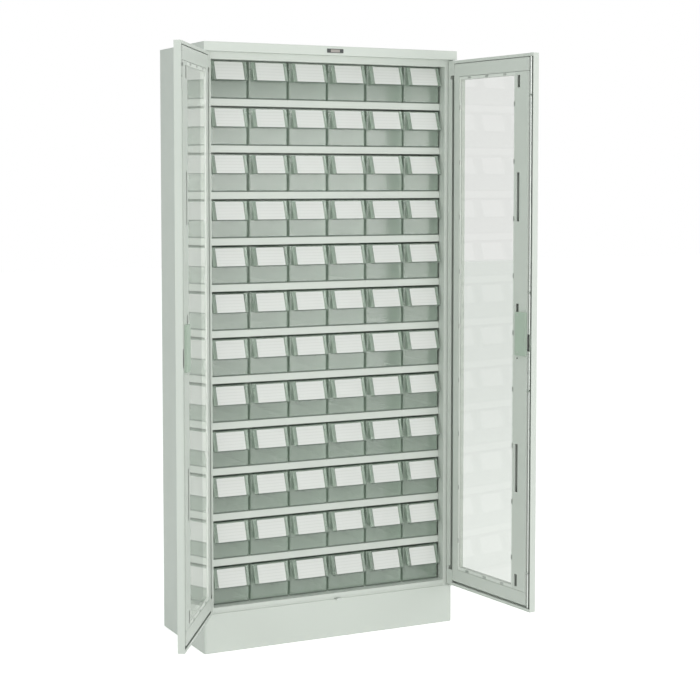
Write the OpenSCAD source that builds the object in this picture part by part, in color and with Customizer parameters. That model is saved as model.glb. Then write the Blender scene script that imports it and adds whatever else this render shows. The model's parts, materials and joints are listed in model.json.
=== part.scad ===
// Steel cabinet with two glazed doors and twelve tiers of clear parts bins.
// The origin is on the floor at the centre of the body, +Z is up and the doors face -Y.

/* [Body] */
// Width across the two side panels
cabinet_w = 840; // [760:5:900]
// Depth of the body behind the doors
cabinet_d = 350; // [320:5:420]
// Height from the floor to the top
cabinet_h = 1800; // [1700:5:1900]
// Thickness of the sheet steel
sheet = 1.2; // [0.8:0.1:1.6]
// Height of the plinth
plinth_h = 117; // [85:1:145]
// Radius of the plinth's upright corners
plinth_r = 8; // [4:1:12]
// How far the plinth's ends wrap round the sides
plinth_wrap = 20; // [16:1:40]
// Height of the sill between the plinth and the cabinet floor
sill_h = 18; // [14:1:30]
// Height of the bright lip at the top of the sill
sill_lip = 10; // [6:1:12]
// Step of the sill behind its lip
sill_step = 3; // [2:0.5:5]
// Width of the channel that stands under the cabinet floor
support_w = 50; // [30:2:80]
// Distance of that channel from the front and the back of the body
support_inset = 15; // [10:1:40]

/* [Pillars, header and rear] */
// Width of each pillar's front face
pillar_w = 30; // [26:1:36]
// Depth of each pillar's inner return
pillar_return = 32; // [26:1:40]
// Set back of the pillars behind the plinth's front
pillar_setback = 3; // [3:0.5:6]
// Width of the small flange behind each pillar's return
pillar_lip = 14; // [8:1:18]
// Width of the side panels' rear flanges
rear_flange = 25; // [15:1:35]
// Height of the header above the bins' opening
header_h = 48; // [44:1:56]
// Height of the fascia above the doors
fascia_h = 27; // [24:1:32]
// Width of the blank plate on the fascia
plate_w = 54; // [40:1:80]
// Height of the blank plate on the fascia
plate_h = 12; // [8:1:18]
// Thickness of the blank plate
plate_t = 1.5; // [0.8:0.1:3]
// Height of the blank plate's centre above the fascia's lower edge
plate_z = 13; // [12:1:16]

/* [Shelves and bins] */
// Tiers of bins
tiers = 12; // [12:1:12]
// Bins in each tier
columns = 6; // [6:1:6]
// Height of each shelf's front lip
lip_h = 20.5; // [14:0.5:24]
// Width of the flange under each shelf's lip
lip_return = 9; // [5:1:14]
// Width of the angle runners under the shelves
runner_w = 20; // [12:1:24]
// Thickness of the angle runners
runner_t = 1.5; // [1:0.1:2]
// Gap between the shelves and the back panel
shelf_back_gap = 0.5; // [0.2:0.1:2]
// Gap between a bin and the lip of the shelf above it
bin_head_gap = 6; // [4:0.5:10]
// Gap between the top tier of bins and the header
head_clear = 3; // [2:0.5:10]
// Gap on each side of a bin
bin_side_gap = 2; // [1:0.25:4]
// Gap between the bins and the back panel
bin_back_gap = 12; // [6:1:30]
// Running gap under a bin
bin_seat_gap = 0.2; // [0.1:0.1:0.5]
// Wall thickness of a bin
bin_wall = 2; // [1.6:0.1:3]
// Radius of a bin's upright corners
bin_r = 5; // [4:0.5:8]
// Width of a bin's label hood
hood_w = 112; // [104:1:122]
// Height of the hood's lower edge above the bin's base
hood_z = 52; // [44:1:60]
// How far the hood's lower edge stands in front of the bin
hood_reach = 25; // [18:0.5:27]
// How far the hood's upper edge stands in front of the bin
hood_rise = 5.5; // [3:0.5:10]
// Width of a label card
label_w = 90; // [80:1:94]
// Height of a label card along the hood
label_h = 54; // [48:1:56]
// Width of the rails beside the label card
label_rail_w = 5; // [3:0.5:6]
// Height of those rails
label_rail_h = 1.4; // [0.8:0.1:2.5]
// Gap between a label card and its rails
label_rail_gap = 2; // [1:0.5:3]

/* [Doors] */
// Thickness of the doors
door_t = 20; // [18:0.5:24]
// Gap between the two closed doors
door_gap = 3; // [2:0.5:6]
// Gap between the doors and the plinth
door_foot_gap = 7; // [6:0.5:10]
// Gap between the doors and the fascia
door_head_gap = 4; // [3:0.5:6]
// Distance of the hinge axis from the side of the cabinet
hinge_inset = 8; // [7:0.5:9]
// Distance of the hinge axis behind the doors' front
hinge_back = 8; // [7:0.5:9]
// Angle at which the right door rests open
right_open = 96; // [0:1:125]
// Angle at which the left door rests open
left_open = 122; // [0:1:125]
// Width of the door's inner lip at its hinges
hinge_lip = 18; // [10:1:20]
// Width of the door's inner lip at its top
head_lip = 9; // [6:1:12]
// Width of the door's inner lip at its foot
foot_lip = 9; // [6:1:20]
// Gap between the head lip and the door's inner frame
frame_gap = 2; // [1:0.5:5]
// Gap between the foot lip and the door's inner frame
foot_gap = 7; // [1:0.5:12]
// Set back of the inner frame from the lips
frame_step = 1; // [0.5:0.5:2]
// Width of the inner frame's top rail
head_rail = 39; // [30:1:44]
// Width of the inner frame's bottom rail
foot_rail = 38; // [30:1:46]
// Distance of the inner frame from the hinge edge
stile_inset = 29; // [22:1:32]
// Width of the inner frame's hinge stile
stile_w = 26; // [20:1:32]
// Width of the channel along the free edge
channel_w = 64; // [60:1:72]
// Distance of that channel from the free edge
channel_inset = 22.5; // [20:0.5:26]

/* [Panes] */
// Thickness of the clear pane
pane_t = 3; // [2:0.5:5]
// Gap round the pane in its frame
pane_gap = 1; // [0.5:0.5:2]
// How far the skin covers the pane at the head and the foot
pane_cover = 9; // [6:0.5:12]
// How far the skin covers the pane at its sides
pane_cover_side = 5; // [4:0.5:8]
// Thickness of the retainer on the pane
retainer_t = 2; // [1:0.5:4]
// Length of the clips on the retainer
clip_l = 14; // [8:1:20]
// Width of the clips on the retainer
clip_w = 6; // [4:0.5:8]
// Thickness of the clips
clip_t = 1.5; // [1:0.5:3]
// Clips along each upright side of a pane
clips_up = 9; // [3:1:12]
// Clips along the head and the foot of a pane
clips_across = 3; // [2:1:4]

/* [Lock and handles] */
// Height of the handles above the floor
lock_z = 948; // [850:1:1000]
// Width of the lock's inner cover
cover_w = 48; // [40:1:56]
// Height of the lock's inner cover
cover_h = 128; // [100:1:140]
// Thickness of the lock's inner cover
cover_t = 8; // [5:0.5:8]
// Width of the slots in the channel
slot_w = 12; // [8:1:18]
// Length of the channel's two long slots
long_slot = 144; // [80:2:180]
// Distance of the long slots from the handle
long_slot_z = 403; // [300:1:500]
// Length of the channel's end slots
end_slot = 36; // [24:1:48]
// Distance of the end slots from the channel's ends
end_slot_z = 10; // [6:1:20]
// Thickness of the handle's outer plate
escutcheon_t = 3.5; // [2:0.5:5]
// Width of the handle's outer plate
escutcheon_w = 60; // [44:1:64]
// Radius of the handle's boss
boss_r = 14; // [10:0.5:16]
// Depth of the handle's boss
boss_l = 15; // [12:0.5:20]
// Length of the lever from its spindle
lever_l = 92; // [70:1:110]
// Width of the lever
lever_w = 18; // [14:1:22]
// Thickness of the lever
lever_t = 9; // [6:0.5:12]
// Radius of the lever's spindle
spindle_r = 5; // [4:0.5:6]
// Running gap round the spindle, the key cylinder and the hinge pins
running_gap = 0.05; // [0.03:0.01:0.1]
// Radius of the cam on the spindle
cam_r = 18; // [14:1:20]
// Thickness of the cam
cam_t = 3; // [2:0.5:4]
// Radius of the key cylinder
key_r = 9; // [7:0.5:10]
// Height of the key cylinder above the spindle
key_rise = 36; // [34:0.5:40]
// Length of the key cylinder's cam
key_tail = 12; // [10:0.5:14]

/* [Lock rods, hinges and keepers] */
// Radius of the lock rods and the bolt
rod_r = 3.5; // [3:0.5:4]
// Distance of the rods from the free edge
rod_inset = 16.5; // [15:0.5:18]
// Distance of the rods behind the doors' front
rod_back = 14; // [12:0.5:15]
// Travel of the rods and the bolt
rod_travel = 12; // [8:0.5:14]
// Gap between the two rods at the handle
rod_split = 50; // [30:1:80]
// Gap round the rods in their guides
rod_gap = 0.1; // [0.05:0.05:0.3]
// Gap round the rods in the door and in the keepers
rod_hole_gap = 0.8; // [0.5:0.1:1.5]
// Height of a rod guide
guide_h = 5; // [3:0.5:10]
// Length of the left door's bolt
bolt_l = 128; // [90:1:160]
// Radius of the bolt's knob
knob_r = 5; // [4:0.5:6]
// Width of the keeper under the doors
keeper_w = 18; // [14:1:24]
// Thickness of the keeper and the hinge brackets
bracket_t = 3; // [2:0.5:4]
// Radius of the hinge pins
pin_r = 4; // [3:0.5:4.5]
// Length of the hinge pins in the doors
pin_l = 22; // [14:1:30]
// Radius of the washers on the hinge pins
washer_r = 6.5; // [6:0.5:7]
// Height of the hinge blocks in the doors' corners
hinge_block_h = 20; // [12:1:30]

/* [Hidden] */
$fn = 48;

STEEL = "#cdd5cc";
STEEL_SHADE = "#b9c4ba";
LIP = "#dfe4de";
BIN = [0.72, 0.78, 0.74, 0.6];
PANE = [0.86, 0.91, 0.90, 0.35];
ZINC = "#c3c7c6";
DARK = "#4a524d";
COVER = "#8d9d90";

half_w = cabinet_w / 2;
wall_x = half_w - sheet;
inner_x = half_w - pillar_w;
front_y = -cabinet_d / 2;
back_y = cabinet_d / 2;
pillar_y = front_y + pillar_setback;
shelf_y = pillar_y + pillar_return;
panel_y = back_y - sheet;
top_z = cabinet_h - sheet;
floor_z = plinth_h + sill_h;
rail_z = cabinet_h - header_h;
fascia_z = cabinet_h - fascia_h;

tier_pitch = (rail_z - head_clear - floor_z + lip_h + bin_head_gap) / tiers;
bin_pitch = 2 * inner_x / columns;
bin_w = bin_pitch - 2 * bin_side_gap;
bin_d = panel_y - sheet - bin_back_gap - shelf_y;
bin_h = tier_pitch - lip_h - bin_head_gap;
hood_slant = atan2(hood_reach - hood_rise, bin_h - hood_z);
hood_len = norm([hood_reach - hood_rise, bin_h - hood_z]);
hood_t = bin_wall / cos(hood_slant);
label_rail_x = label_w / 2 + label_rail_gap;
single_tier = 7;

door_y0 = front_y - door_t;
door_x0 = door_gap / 2;
door_z0 = plinth_h + door_foot_gap;
door_z1 = fascia_z - door_head_gap;
skin_y = door_y0 + sheet;
frame_y = front_y - frame_step;
hinge_x = half_w - hinge_inset;
hinge_y = door_y0 + hinge_back;
frame_x1 = half_w - stile_inset;
frame_z0 = door_z0 + foot_lip + foot_gap;
frame_z1 = door_z1 - head_lip - frame_gap;
channel_x0 = door_x0 + channel_inset;
channel_x1 = channel_x0 + channel_w;
channel_z0 = frame_z0 + foot_rail + pane_gap;
channel_z1 = frame_z1 - head_rail - pane_gap;
pane_x0 = channel_x1 + pane_gap;
pane_x1 = frame_x1 - stile_w - pane_gap;
window_x0 = pane_x0 + pane_cover_side;
window_x1 = pane_x1 - pane_cover_side;
window_z0 = channel_z0 + pane_cover;
window_z1 = channel_z1 - pane_cover;
retainer_y = frame_y - clip_t;
pane_y = retainer_y - retainer_t;
pane_y0 = pane_y - pane_t;

lock_x = channel_x0 + channel_w / 2;
plate_y = door_y0 - escutcheon_t;
boss_y = plate_y - boss_l;
cam_y = skin_y + 3 * cam_t;
key_y = plate_y - 2;
rod_x = door_x0 + rod_inset;
rod_y = door_y0 + rod_back;
rod_tip_z = (door_z1 + fascia_z) / 2;
bracket_z = door_z0 - washer_t() - bracket_t;
keeper_z = plinth_h + 0.5;
rod_foot_z = keeper_z + bracket_t + 2;

// Thickness of the washers that carry the doors
function washer_t() = door_foot_gap - bracket_t - 2;

// Height of a tier's floor, counted from the bottom
function tier_z(tier) = floor_z + (tier - 1) * tier_pitch;

// Centre of a bin, counted from the left
function column_x(column) = (column - (columns + 1) / 2) * bin_pitch;

// Outline of a rectangle with rounded corners, one corner at the origin
function rounded(w, d, r, steps) = [
    for (corner = [[w - r, r, -90], [w - r, d - r, 0], [r, d - r, 90], [r, r, 180]])
        for (i = [0 : steps])
            let (a = corner[2] + 90 * i / steps)
                [corner[0] + r * cos(a), corner[1] + r * sin(a)]];

// A box from its lowest to its highest corner
module block(low, high) translate(low) cube(high - low);

// A profile drawn in Y and Z, run along X about its middle
module along_x(length) rotate([90, 0, 90]) translate([0, 0, -length / 2]) linear_extrude(length) children();

// An outline drawn in X and Z, run from one Y to another
module along_y(y0, y1) translate([0, y1, 0]) rotate([90, 0, 0]) linear_extrude(y1 - y0) children();

// A round bar along Y
module bar_y(x, z, r, y0, y1) translate([x, y1, z]) rotate([90, 0, 0]) cylinder(r = r, h = y1 - y0);

// A round bar along Z
module bar_z(x, y, r, z0, z1) translate([x, y, z0]) cylinder(r = r, h = z1 - z0);

// The same solid on the left and on the right
module both_sides() {
    children();
    mirror([1, 0, 0]) children();
}

// Turns a door, drawn closed on the right, to its open angle
module swing(angle)
    translate([hinge_x, hinge_y, 0]) rotate(angle) translate([-hinge_x, -hinge_y, 0]) children();

module on_right() swing(right_open) children();

module on_left() mirror([1, 0, 0]) swing(left_open) children();

// ---- Body ----

// Side sheet with its pillar at the front and its flange at the rear
module side_panel() {
    block([wall_x, front_y + plinth_wrap, 0], [half_w, back_y, top_z]);
    block([wall_x, pillar_y, plinth_h], [half_w, front_y + plinth_wrap, top_z]);
    difference() {
        block([inner_x, pillar_y, plinth_h], [wall_x, pillar_y + sheet, top_z]);
        block([bracket_x0(), pillar_y - 1, bracket_z], [half_w, pillar_y + sheet + 1, bracket_z + bracket_t]);
    }
    block([inner_x, pillar_y + sheet, plinth_h], [inner_x + sheet, shelf_y, top_z]);
    block([inner_x + sheet, shelf_y - sheet, plinth_h], [inner_x + pillar_lip, shelf_y, top_z]);
    block([half_w - rear_flange, panel_y, 0], [wall_x, back_y, top_z]);
}

module side_panel_right() color(STEEL_SHADE) side_panel();

module side_panel_left() color(STEEL_SHADE) mirror([1, 0, 0]) side_panel();

module back_panel() color(STEEL_SHADE)
    block([-wall_x, panel_y - sheet, plinth_h], [wall_x, panel_y, top_z]);

module top_panel() color(STEEL) {
    block([-half_w, door_y0, top_z], [half_w, back_y, cabinet_h]);
}

// Fascia over the doors, with the rail behind it that frames the bins' opening
module header() color(STEEL) {
    block([-half_w, door_y0, fascia_z], [half_w, skin_y, top_z]);
    both_sides() block([wall_x, skin_y, fascia_z], [half_w, pillar_y, top_z]);
    difference() {
        block([-wall_x, skin_y, fascia_z], [wall_x, pillar_y, fascia_z + sheet]);
        both_sides() {
            bar_z(rod_x, rod_y, rod_r + rod_hole_gap, fascia_z - 1, fascia_z + sheet + 1);
            bar_z(hinge_x, hinge_y, pin_r, fascia_z - 1, fascia_z + sheet + 1);
        }
    }
    block([-inner_x, pillar_y, rail_z], [inner_x, pillar_y + sheet, top_z]);
    block([-inner_x, pillar_y + sheet, rail_z], [inner_x, shelf_y, rail_z + sheet]);
}

module nameplate() color(DARK)
    along_y(door_y0 - plate_t, door_y0)
        translate([-plate_w / 2, fascia_z + plate_z - plate_h / 2])
            polygon(rounded(plate_w, plate_h, plate_h / 8, 3));

// Cabinet floor, with its lip and its stepped sill
module floor_pan() color(LIP) {
    block([-inner_x, pillar_y, floor_z - sheet], [inner_x, shelf_y, floor_z]);
    block([-wall_x, shelf_y, floor_z - sheet], [wall_x, panel_y - sheet, floor_z]);
    block([-inner_x, pillar_y, floor_z - sill_lip], [inner_x, pillar_y + sheet, floor_z - sheet]);
    block([-inner_x, pillar_y + sheet, floor_z - sill_lip],
        [inner_x, pillar_y + sill_step + sheet, floor_z - sill_lip + sheet]);
    block([-inner_x, pillar_y + sill_step, plinth_h],
        [inner_x, pillar_y + sill_step + sheet, floor_z - sill_lip]);
}

// Channel on the floor that carries the middle of the cabinet floor
module floor_support() color(STEEL_SHADE) {
    half = support_w / 2;
    y0 = front_y + support_inset;
    y1 = back_y - support_inset;
    difference() {
        block([-half, y0, 0], [half, y1, floor_z - sheet]);
        block([-half + 2 * sheet, y0 - 1, 2 * sheet], [half - 2 * sheet, y1 + 1, floor_z - 3 * sheet]);
    }
}

// Front board of the plinth, with rounded corners and a flange that carries the sill
module plinth_front() color(STEEL) {
    linear_extrude(plinth_h) difference() {
        translate([-half_w, front_y]) polygon(rounded(cabinet_w, 2 * plinth_wrap, plinth_r, 6));
        translate([-wall_x, front_y + sheet])
            polygon(rounded(2 * wall_x, 2 * plinth_wrap, plinth_r - sheet, 6));
        translate([-half_w - 1, front_y + plinth_wrap]) square([cabinet_w + 2, 2 * plinth_wrap]);
    }
    block([-wall_x + plinth_r, front_y + sheet / 2, plinth_h - sheet],
        [wall_x - plinth_r, pillar_y + 2 * sill_step, plinth_h]);
}

// Rear board of the plinth
module plinth_back() color(STEEL_SHADE) {
    block([-wall_x, panel_y - sheet, 0], [wall_x, panel_y, plinth_h - sheet]);
    block([-wall_x, back_y - support_inset + 1, plinth_h - sheet], [wall_x, panel_y, plinth_h]);
}

// Edge of the bracket slot in a pillar
function bracket_x0() = hinge_x - 2 * washer_r;

// Plates under the doors' hinge corners, passed through the pillars
module hinge_brackets() color(STEEL) both_sides() difference() {
    block([bracket_x0(), hinge_y - washer_r, bracket_z],
        [half_w - sheet, pillar_y + pillar_return / 2, bracket_z + bracket_t]);
    bar_z(hinge_x, hinge_y, pin_r, bracket_z - 1, bracket_z + bracket_t + 1);
}

// Upper and lower hinge pins, with the washers that carry the doors
module hinge_pins() color(ZINC) both_sides() {
    bar_z(hinge_x, hinge_y, pin_r, door_z1 - pin_l, fascia_z + sheet);
    bar_z(hinge_x, hinge_y, pin_r + 2, fascia_z + sheet, fascia_z + 2 * sheet);
    bar_z(hinge_x, hinge_y, pin_r, bracket_z, door_z0 + pin_l);
    bar_z(hinge_x, hinge_y, washer_r, bracket_z + bracket_t, door_z0);
}

// Small plate under the right door that takes the lower lock rod
module rod_keeper() color(DARK) difference() {
    block([rod_x - keeper_w / 2, rod_y - rod_r - 3, keeper_z],
        [rod_x + keeper_w / 2, pillar_y + sill_step, keeper_z + bracket_t]);
    bar_z(rod_x, rod_y, rod_r + rod_hole_gap, keeper_z - 1, keeper_z + bracket_t + 1);
}

// ---- Shelves ----

module shelf(z) {
    block([-wall_x + 1, shelf_y + sheet, z - sheet], [wall_x - 1, panel_y - sheet - shelf_back_gap, z]);
    block([-inner_x + 0.5, shelf_y, z - lip_h], [inner_x - 0.5, shelf_y + sheet, z]);
    block([-inner_x + 0.5, shelf_y + sheet, z - lip_h],
        [inner_x - 0.5, shelf_y + lip_return, z - lip_h + sheet]);
}

module shelves() color(LIP) for (tier = [2 : tiers]) shelf(tier_z(tier));

// Angles on the side panels that carry the shelves
module shelf_runners() color(STEEL_SHADE) both_sides() for (tier = [2 : tiers]) {
    z = tier_z(tier) - sheet;
    y0 = shelf_y + 2 * sheet;
    y1 = panel_y - sheet - shelf_back_gap;
    block([wall_x - runner_w, y0, z - runner_t], [wall_x, y1, z]);
    block([wall_x - runner_t, y0, z - runner_w], [wall_x, y1, z - runner_t]);
}

// ---- Bins ----

// Open bin with its front at Y = 0 and a slanted label hood that is also its pull
module bin() {
    difference() {
        translate([-bin_w / 2, 0]) linear_extrude(bin_h) polygon(rounded(bin_w, bin_d, bin_r, 3));
        translate([-bin_w / 2 + bin_wall, bin_wall, bin_wall]) linear_extrude(bin_h)
            polygon(rounded(bin_w - 2 * bin_wall, bin_d - 2 * bin_wall, bin_r - bin_wall, 3));
    }
    along_x(hood_w) polygon([[-hood_reach, hood_z], [-hood_rise, bin_h], [bin_wall, bin_h],
        [bin_wall, bin_h - bin_wall], [-hood_rise + hood_t / 2, bin_h - bin_wall],
        [-hood_reach + hood_t, hood_z]]);
    for (side = [-1, 1]) {
        translate([side * (hood_w / 2 - 3 * bin_wall), 0]) along_x(bin_wall)
            polygon([[-hood_reach + hood_t / 2, hood_z], [-hood_rise, bin_h - bin_wall / 2],
                [bin_wall / 2, bin_h - bin_wall / 2], [bin_wall / 2, hood_z]]);
        translate([side * (label_rail_x + label_rail_w / 2), 0]) label_rail();
    }
}

// Raised rail that holds one side of a label card
module label_rail() along_x(label_rail_w) translate([-hood_reach, hood_z]) rotate(-hood_slant)
    polygon([[-label_rail_h, 0], [-label_rail_h, hood_len], [0.5, hood_len - 0.5], [0.5, 0.5]]);

module bin_at(tier, column) translate([column_x(column), shelf_y, tier_z(tier) + bin_seat_gap]) bin();

module bins_tier(tier) color(BIN) for (column = [1 : columns]) bin_at(tier, column);

// ---- Doors, drawn closed on the right ----

// Outer sheet with its folded edges, its inner lips and the collar that carries the pane. The lip at the
// hinges is wider above and below the pane
module door_skin(lock) difference() {
    union() {
        difference() {
            block([door_x0, door_y0, door_z0], [half_w, front_y, door_z1]);
            block([door_x0 + sheet, skin_y, door_z0 + sheet], [wall_x, front_y + 1, door_z1 - sheet]);
        }
        block([half_w - hinge_lip, front_y - sheet, door_z0], [half_w, front_y, door_z1]);
        for (z = [[door_z0, channel_z0], [channel_z1, door_z1]])
            block([frame_x1 + frame_step, front_y - sheet, z[0]], [half_w, front_y, z[1]]);
        block([door_x0, front_y - sheet, door_z0], [half_w, front_y, door_z0 + foot_lip]);
        block([door_x0, front_y - sheet, door_z1 - head_lip], [half_w, front_y, door_z1]);
        block([window_x0 - sheet, skin_y, window_z0 - sheet],
            [window_x1 + sheet, pane_y0, window_z1 + sheet]);
    }
    block([window_x0, door_y0 - 1, window_z0], [window_x1, pane_y0 + 1, window_z1]);
    for (z = [channel_z0, channel_z1])
        block([frame_x1, front_y - sheet - 1, z - 6], [half_w - hinge_lip / 2, front_y + 1, z + 6]);
    for (z = [door_z0, door_z1 - sheet]) bar_z(hinge_x, hinge_y, pin_r + 1, z - 1, z + sheet + 1);
    if (lock) {
        bar_y(lock_x, lock_z, spindle_r + running_gap, door_y0 - 1, skin_y + 1);
        bar_y(lock_x, lock_z + key_rise, key_r + running_gap, door_y0 - 1, skin_y + 1);
        bar_z(rod_x, rod_y, rod_r + rod_hole_gap, door_z0 - 1, door_z0 + sheet + 1);
    }
    bar_z(rod_x, rod_y, rod_r + rod_hole_gap, door_z1 - sheet - 1, door_z1 + 1);
}

// Outline in X and Z of the frame's two rails and its hinge stile, drawn in by a margin
module frame_outline(margin) difference() {
    translate([channel_x0 + margin, frame_z0 + margin])
        square([frame_x1 - channel_x0 - 2 * margin, frame_z1 - frame_z0 - 2 * margin]);
    translate([channel_x0 - 1, frame_z0 + foot_rail - margin])
        square([frame_x1 - stile_w - channel_x0 + 1 + margin,
            frame_z1 - head_rail - frame_z0 - foot_rail + 2 * margin]);
}

// Hollow rails and hinge stile behind the skin, open towards it
module door_frame() difference() {
    along_y(skin_y, frame_y) frame_outline(0);
    along_y(skin_y - 1, frame_y - sheet) frame_outline(sheet);
}

// A slot in the channel's inner face
module channel_slot(z, length)
    block([slot_x() - slot_w / 2, frame_y - sheet - 1, z - length / 2],
        [slot_x() + slot_w / 2, frame_y + 1, z + length / 2]);

// Slots run along the channel's side next to the pane
function slot_x() = channel_x1 - 11 - slot_w / 2;

// Hollow upright channel that stiffens the free edge and houses the lock
module door_channel() difference() {
    block([channel_x0, skin_y, channel_z0], [channel_x1, frame_y, channel_z1]);
    block([channel_x0 + sheet, skin_y - 1, channel_z0 + sheet],
        [channel_x1 - sheet, frame_y - sheet, channel_z1 - sheet]);
    channel_slot(lock_z + long_slot_z, long_slot);
    channel_slot(lock_z - long_slot_z, long_slot);
    channel_slot(channel_z0 + end_slot_z + end_slot / 2, end_slot);
    channel_slot(channel_z1 - end_slot_z - end_slot / 2, end_slot);
    channel_slot(lock_z + cover_h / 2 + slot_w, 2 * slot_w);
    bar_y(slot_x(), lock_z - cover_h / 2 - 10, slot_w / 4, frame_y - sheet - 1, frame_y + 1);
    block([channel_x0 - 1, rod_y - rod_r, lock_z - rod_split],
        [channel_x0 + sheet + 1, rod_y + rod_r, lock_z]);
}

module door_pane() block([pane_x0, pane_y0, channel_z0], [pane_x1, pane_y, channel_z1]);

// Flat ring that holds the pane against the collar
module pane_retainer() difference() {
    block([pane_x0, pane_y, channel_z0], [pane_x1, retainer_y, channel_z1]);
    block([window_x0, pane_y - 1, window_z0], [window_x1, retainer_y + 1, window_z1]);
}

// Small clips along the retainer
module pane_clips() {
    for (i = [1 : clips_up], x = [(pane_x0 + window_x0) / 2, (pane_x1 + window_x1) / 2]) {
        z = window_z0 + (window_z1 - window_z0) * (i - 0.5) / clips_up;
        block([x - pane_cover_side / 2, retainer_y, z - clip_l / 2],
            [x + pane_cover_side / 2, retainer_y + clip_t, z + clip_l / 2]);
    }
    for (i = [1 : clips_across], z = [(channel_z0 + window_z0) / 2, (channel_z1 + window_z1) / 2]) {
        x = window_x0 + (window_x1 - window_x0) * (i - 0.5) / clips_across;
        block([x - clip_l / 2, retainer_y, z - clip_w / 2],
            [x + clip_l / 2, retainer_y + clip_t, z + clip_w / 2]);
    }
}

// Shallow cover over the lock, on the channel's inner face
module lock_cover() difference() {
    along_y(frame_y, frame_y + cover_t) translate([channel_x0, lock_z - cover_h / 2])
        polygon(rounded(cover_w, cover_h, 3, 3));
    along_y(frame_y - 1, frame_y + cover_t - sheet)
        translate([channel_x0 + sheet, lock_z - cover_h / 2 + sheet])
        polygon(rounded(cover_w - 2 * sheet, cover_h - 2 * sheet, 3 - sheet, 3));
}

module handle_plate() difference() {
    along_y(plate_y, door_y0) translate([lock_x - escutcheon_w / 2, lock_z - cover_h / 2])
        polygon(rounded(escutcheon_w, cover_h, 8, 4));
    bar_y(lock_x, lock_z, spindle_r + running_gap, plate_y - 1, door_y0 + 1);
    bar_y(lock_x, lock_z + key_rise, key_r + running_gap, plate_y - 1, door_y0 + 1);
}

module hinge_blocks() for (z = [door_z0 + sheet, door_z1 - sheet - hinge_block_h]) difference() {
    block([hinge_x - washer_r - 2, skin_y, z], [wall_x, front_y - sheet, z + hinge_block_h]);
    bar_z(hinge_x, hinge_y, pin_r + running_gap, z - 1, z + hinge_block_h + 1);
}

// One guide for a rod, standing on the channel's side wall
module rod_guide(z) difference() {
    block([rod_x - rod_r - 3, rod_y - rod_r - 2.5, z - guide_h / 2],
        [channel_x0, rod_y + rod_r + 1.5, z + guide_h / 2]);
    bar_z(rod_x, rod_y, rod_r + rod_gap, z - guide_h, z + guide_h);
}

// ---- Pieces of the left door ----

module left_door_skin() color(STEEL) on_left() door_skin(false);
module left_door_frame() color(STEEL_SHADE) on_left() door_frame();
module left_door_channel() color(STEEL_SHADE) on_left() door_channel();
module left_pane() color(PANE) on_left() door_pane();
module left_pane_retainer() color(LIP) on_left() pane_retainer();
module left_pane_clips() color(ZINC) on_left() pane_clips();
module left_lock_cover() color(COVER) on_left() lock_cover();
module left_hinge_blocks() color(STEEL_SHADE) on_left() hinge_blocks();

module left_bolt_guides() color(ZINC) on_left()
    for (share = [0.2, 0.75]) rod_guide(rod_tip_z - bolt_l * share);

module left_bolt() color(ZINC) on_left() {
    bar_z(rod_x, rod_y, rod_r, rod_tip_z - bolt_l, rod_tip_z);
    bar_y(rod_x, rod_tip_z - bolt_l / 2, knob_r, rod_y, front_y + 2);
}

// ---- Pieces of the right door ----

module right_door_skin() color(STEEL) on_right() door_skin(true);
module right_door_frame() color(STEEL_SHADE) on_right() door_frame();
module right_door_channel() color(STEEL_SHADE) on_right() door_channel();
module right_pane() color(PANE) on_right() door_pane();
module right_pane_retainer() color(LIP) on_right() pane_retainer();
module right_pane_clips() color(ZINC) on_right() pane_clips();
module right_lock_cover() color(COVER) on_right() lock_cover();
module right_handle_plate() color(ZINC) on_right() handle_plate();
module right_hinge_blocks() color(STEEL_SHADE) on_right() hinge_blocks();

module rod_guides() color(ZINC) on_right() {
    for (share = [0.15, 0.85]) {
        rod_guide(lock_z + (rod_tip_z - lock_z) * share);
        rod_guide(lock_z - rod_split - (lock_z - rod_split - rod_foot_z) * share);
    }
}

// Boss and lever that hang down from the spindle
module handle_lever() color(ZINC) on_right() {
    bar_y(lock_x, lock_z, spindle_r, plate_y, cam_y);
    bar_y(lock_x, lock_z, boss_r, boss_y, plate_y);
    bar_y(lock_x, lock_z - lever_l, lever_w / 2, boss_y, boss_y + lever_t);
    block([lock_x - lever_w / 2, boss_y, lock_z - lever_l], [lock_x + lever_w / 2, boss_y + lever_t, lock_z]);
}

// Cam on the spindle's inner end
module lock_cam() color(DARK) on_right() bar_y(lock_x, lock_z, cam_r, cam_y, cam_y + cam_t);

// Key cylinder with its key slot and its cam
module key_cylinder() color(ZINC) on_right() {
    difference() {
        bar_y(lock_x, lock_z + key_rise, key_r, key_y, cam_y);
        block([lock_x - 1, key_y - 1, lock_z + key_rise - key_r / 2],
            [lock_x + 1, key_y + 3, lock_z + key_rise + key_r / 2]);
    }
    block([lock_x, cam_y, lock_z + key_rise - 4], [lock_x + key_tail, cam_y + 2, lock_z + key_rise + 4]);
}

module upper_lock_rod() color(ZINC) on_right() bar_z(rod_x, rod_y, rod_r, lock_z, rod_tip_z);

module lower_lock_rod() color(ZINC) on_right() bar_z(rod_x, rod_y, rod_r, rod_foot_z, lock_z - rod_split);

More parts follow.
